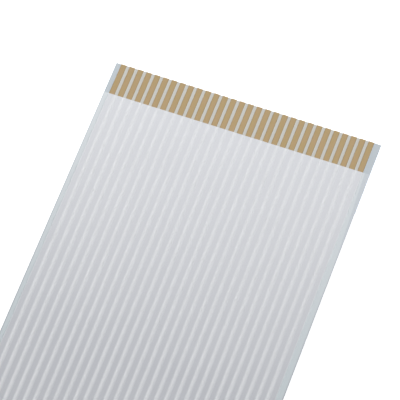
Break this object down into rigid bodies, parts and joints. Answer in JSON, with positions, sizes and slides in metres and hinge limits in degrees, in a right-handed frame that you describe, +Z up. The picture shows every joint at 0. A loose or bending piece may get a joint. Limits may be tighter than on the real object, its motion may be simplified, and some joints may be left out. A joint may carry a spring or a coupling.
{
  "type": "flat flexible cable",
  "caption": "Flat white ribbon of foil conductors sealed between two films, with bare gold-plated contacts and a stiffening tape at each end; joins two boards through flat-cable connectors.",
  "frame": {"origin": "On the surface that the cable lies on, at the middle of its length and width.", "axes": "+X across the cable, +Y along it towards the front end, +Z up out of the contacts' faces."},
  "size_m": [0.031, 0.1, 0.0004],
  "materials": {
    "polyester_film": "milky white polyester film, satin, with faint greyer bands over the conductors",
    "stiffening_tape": "pale blue polyester supporting tape, satin",
    "plated_copper": "rolled copper strip, plated with a thin layer of gold on its bare ends, satin"
  },
  "bodies": {
    "root": {"upper_film": "polyester_film", "lower_film": "polyester_film", "front_stiffener": "stiffening_tape", "rear_stiffener": "stiffening_tape", "conductor_01": "plated_copper", "conductor_02": "plated_copper", "conductor_03": "plated_copper", "conductor_04": "plated_copper", "conductor_05": "plated_copper", "conductor_06": "plated_copper", "conductor_07": "plated_copper", "conductor_08": "plated_copper", "conductor_09": "plated_copper", "conductor_10": "plated_copper", "conductor_11": "plated_copper", "conductor_12": "plated_copper", "conductor_13": "plated_copper", "conductor_14": "plated_copper", "conductor_15": "plated_copper", "conductor_16": "plated_copper", "conductor_17": "plated_copper", "conductor_18": "plated_copper", "conductor_19": "plated_copper", "conductor_20": "plated_copper", "conductor_21": "plated_copper", "conductor_22": "plated_copper", "conductor_23": "plated_copper", "conductor_24": "plated_copper", "conductor_25": "plated_copper", "conductor_26": "plated_copper", "conductor_27": "plated_copper", "conductor_28": "plated_copper", "conductor_29": "plated_copper", "conductor_30": "plated_copper"}
  },
  "joints": []
}
